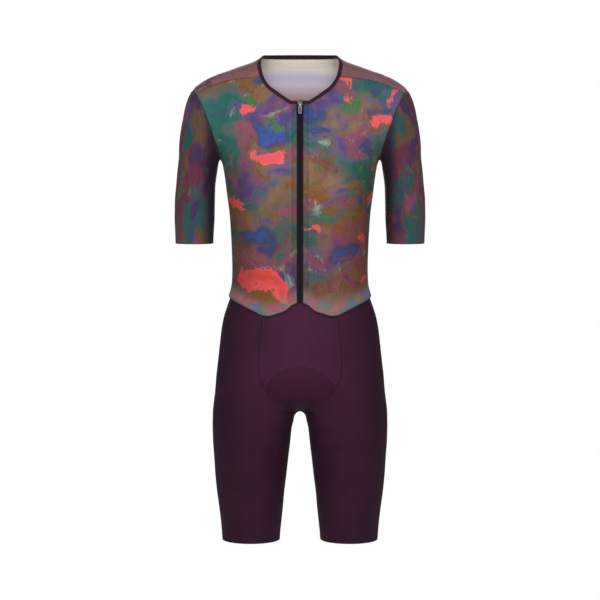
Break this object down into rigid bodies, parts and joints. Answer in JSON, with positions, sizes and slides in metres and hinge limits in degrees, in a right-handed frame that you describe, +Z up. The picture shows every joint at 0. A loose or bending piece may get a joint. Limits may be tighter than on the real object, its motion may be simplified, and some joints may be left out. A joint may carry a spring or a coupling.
{
  "type": "cycling aerosuit",
  "caption": "One-piece short-sleeved cycling race suit: snug elbow-length sleeves, printed jersey front with a zip, plain above-knee shorts with a seat pad, filled out as worn.",
  "frame": {"origin": "base of the neck, on the body's middle line between the two shoulders that carry the suit", "axes": "+Z up along the wearer's body, -Y towards the wearer's front, +X towards the wearer's left"},
  "size_m": [0.5022, 0.2419, 0.9727],
  "materials": {
    "printed_jersey_knit": "smooth stretch knit, printed",
    "shoulder_knit": "fine ribbed stretch knit",
    "sleeve_knit": "fine ribbed stretch knit",
    "plum_shorts_knit": "matt stretch knit",
    "plum_binding": "folded knit binding",
    "zip_tape": "woven tape with a reversed nylon coil",
    "zip_metal": "satin plated",
    "pad_foam": "brushed cover over foam"
  },
  "bodies": {
    "suit": {"front_left": "printed_jersey_knit", "front_right": "printed_jersey_knit", "back": "shoulder_knit", "sleeve_left": "sleeve_knit", "sleeve_right": "sleeve_knit", "neck_binding": "plum_binding", "zip_tape_left": "zip_tape", "zip_tape_right": "zip_tape", "zip_slider": "zip_metal", "front_centre": "plum_shorts_knit", "seat": "plum_shorts_knit", "leg_left": "plum_shorts_knit", "leg_right": "plum_shorts_knit", "seat_pad": "pad_foam"},
    "pull": {"zip_pull": "zip_metal"}
  },
  "joints": [
    {"name": "pull_hinge", "type": "hinge", "parent": "suit", "child": "pull", "pos_m": [0, -0.09587, -0.08524], "axis": [-1, 0, 0], "range_deg": [0, 165]}
  ]
}
